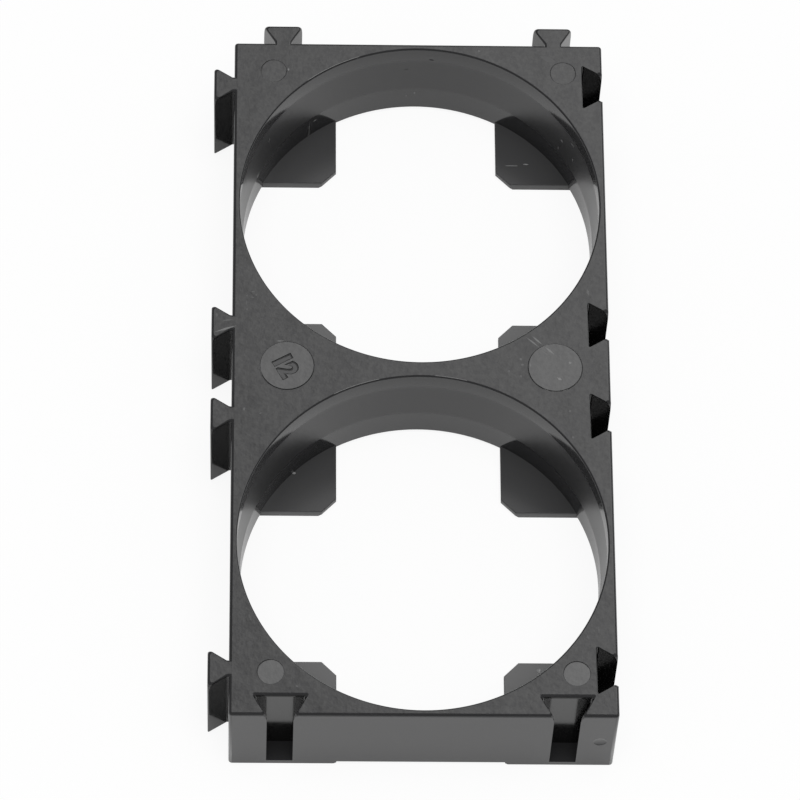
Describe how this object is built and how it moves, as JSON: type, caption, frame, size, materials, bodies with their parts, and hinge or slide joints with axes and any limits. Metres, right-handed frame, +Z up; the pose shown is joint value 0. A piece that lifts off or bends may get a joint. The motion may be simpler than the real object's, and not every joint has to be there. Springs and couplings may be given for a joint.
{
  "type": "battery cell holder bracket",
  "caption": "Flat interlocking bracket with a row of round pockets that hold cylindrical cells upright on corner ledges; dovetail tabs and sockets join it to more brackets.",
  "frame": {"origin": "under the middle of the outside box, tabs included, on the plane of the feet", "axes": "+Z up out of the pockets, +Y along the row of pockets towards the end with tabs, +X towards the side with sockets"},
  "size_m": [0.0356, 0.0696, 0.0103],
  "materials": {
    "black_abs": "moulded black ABS, satin with a soft sheen"
  },
  "bodies": {
    "root": {"cell_bracket": "black_abs"}
  },
  "joints": []
}
